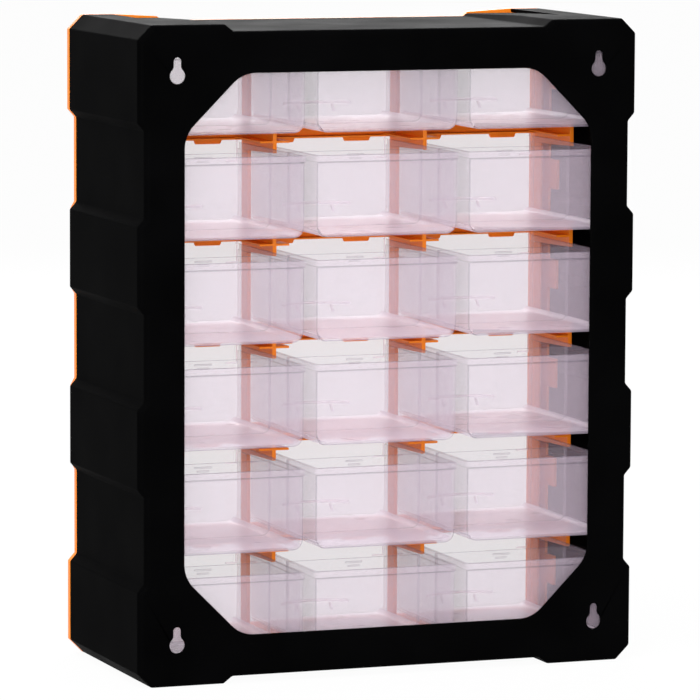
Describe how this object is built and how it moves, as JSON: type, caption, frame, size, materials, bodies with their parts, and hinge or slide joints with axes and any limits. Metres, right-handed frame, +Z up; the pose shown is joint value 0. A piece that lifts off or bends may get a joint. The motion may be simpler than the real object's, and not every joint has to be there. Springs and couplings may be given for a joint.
{
  "type": "parts bin cabinet",
  "caption": "Free-standing or wall-hung cabinet for small parts: a moulded housing with a front grid, see-through sliding drawers with divider plates, and a window in its back plate.",
  "frame": {"origin": "on the standing surface, below the middle of the cabinet's width and depth", "axes": "+X to the right seen from the drawer fronts, +Y from the drawer fronts to the back plate, +Z up"},
  "size_m": [0.38, 0.1644, 0.47],
  "materials": {
    "black_plastic": "satin, fine moulded grain",
    "orange_plastic": "satin",
    "frosted_plastic": "translucent, lightly frosted",
    "clear_plastic": "clear"
  },
  "bodies": {
    "cabinet": {"housing": "black_plastic", "front_frame": "orange_plastic"},
    "bin_r1_c1": {"drawer_r1_c1": "frosted_plastic", "divider_r1_c1": "clear_plastic"},
    "bin_r1_c2": {"drawer_r1_c2": "frosted_plastic", "divider_r1_c2": "clear_plastic"},
    "bin_r1_c3": {"drawer_r1_c3": "frosted_plastic", "divider_r1_c3": "clear_plastic"},
    "bin_r2_c1": {"drawer_r2_c1": "frosted_plastic", "divider_r2_c1": "clear_plastic"},
    "bin_r2_c2": {"drawer_r2_c2": "frosted_plastic", "divider_r2_c2": "clear_plastic"},
    "bin_r2_c3": {"drawer_r2_c3": "frosted_plastic", "divider_r2_c3": "clear_plastic"},
    "bin_r3_c1": {"drawer_r3_c1": "frosted_plastic", "divider_r3_c1": "clear_plastic"},
    "bin_r3_c2": {"drawer_r3_c2": "frosted_plastic", "divider_r3_c2": "clear_plastic"},
    "bin_r3_c3": {"drawer_r3_c3": "frosted_plastic", "divider_r3_c3": "clear_plastic"},
    "bin_r4_c1": {"drawer_r4_c1": "frosted_plastic", "divider_r4_c1": "clear_plastic"},
    "bin_r4_c2": {"drawer_r4_c2": "frosted_plastic", "divider_r4_c2": "clear_plastic"},
    "bin_r4_c3": {"drawer_r4_c3": "frosted_plastic", "divider_r4_c3": "clear_plastic"},
    "bin_r5_c1": {"drawer_r5_c1": "frosted_plastic", "divider_r5_c1": "clear_plastic"},
    "bin_r5_c2": {"drawer_r5_c2": "frosted_plastic", "divider_r5_c2": "clear_plastic"},
    "bin_r5_c3": {"drawer_r5_c3": "frosted_plastic", "divider_r5_c3": "clear_plastic"},
    "bin_r6_c1": {"drawer_r6_c1": "frosted_plastic", "divider_r6_c1": "clear_plastic"},
    "bin_r6_c2": {"drawer_r6_c2": "frosted_plastic", "divider_r6_c2": "clear_plastic"},
    "bin_r6_c3": {"drawer_r6_c3": "frosted_plastic", "divider_r6_c3": "clear_plastic"}
  },
  "joints": [
    {"name": "slide_r1_c1", "type": "slide", "parent": "cabinet", "child": "bin_r1_c1", "axis": [0, -1, 0], "range_m": [0, 0.1385]},
    {"name": "slide_r1_c2", "type": "slide", "parent": "cabinet", "child": "bin_r1_c2", "axis": [0, -1, 0], "range_m": [0, 0.1385]},
    {"name": "slide_r1_c3", "type": "slide", "parent": "cabinet", "child": "bin_r1_c3", "axis": [0, -1, 0], "range_m": [0, 0.1385]},
    {"name": "slide_r2_c1", "type": "slide", "parent": "cabinet", "child": "bin_r2_c1", "axis": [0, -1, 0], "range_m": [0, 0.1385]},
    {"name": "slide_r2_c2", "type": "slide", "parent": "cabinet", "child": "bin_r2_c2", "axis": [0, -1, 0], "range_m": [0, 0.1385]},
    {"name": "slide_r2_c3", "type": "slide", "parent": "cabinet", "child": "bin_r2_c3", "axis": [0, -1, 0], "range_m": [0, 0.1385]},
    {"name": "slide_r3_c1", "type": "slide", "parent": "cabinet", "child": "bin_r3_c1", "axis": [0, -1, 0], "range_m": [0, 0.1385]},
    {"name": "slide_r3_c2", "type": "slide", "parent": "cabinet", "child": "bin_r3_c2", "axis": [0, -1, 0], "range_m": [0, 0.1385]},
    {"name": "slide_r3_c3", "type": "slide", "parent": "cabinet", "child": "bin_r3_c3", "axis": [0, -1, 0], "range_m": [0, 0.1385]},
    {"name": "slide_r4_c1", "type": "slide", "parent": "cabinet", "child": "bin_r4_c1", "axis": [0, -1, 0], "range_m": [0, 0.1385]},
    {"name": "slide_r4_c2", "type": "slide", "parent": "cabinet", "child": "bin_r4_c2", "axis": [0, -1, 0], "range_m": [0, 0.1385]},
    {"name": "slide_r4_c3", "type": "slide", "parent": "cabinet", "child": "bin_r4_c3", "axis": [0, -1, 0], "range_m": [0, 0.1385]},
    {"name": "slide_r5_c1", "type": "slide", "parent": "cabinet", "child": "bin_r5_c1", "axis": [0, -1, 0], "range_m": [0, 0.1385]},
    {"name": "slide_r5_c2", "type": "slide", "parent": "cabinet", "child": "bin_r5_c2", "axis": [0, -1, 0], "range_m": [0, 0.1385]},
    {"name": "slide_r5_c3", "type": "slide", "parent": "cabinet", "child": "bin_r5_c3", "axis": [0, -1, 0], "range_m": [0, 0.1385]},
    {"name": "slide_r6_c1", "type": "slide", "parent": "cabinet", "child": "bin_r6_c1", "axis": [0, -1, 0], "range_m": [0, 0.1385]},
    {"name": "slide_r6_c2", "type": "slide", "parent": "cabinet", "child": "bin_r6_c2", "axis": [0, -1, 0], "range_m": [0, 0.1385]},
    {"name": "slide_r6_c3", "type": "slide", "parent": "cabinet", "child": "bin_r6_c3", "axis": [0, -1, 0], "range_m": [0, 0.1385]}
  ]
}
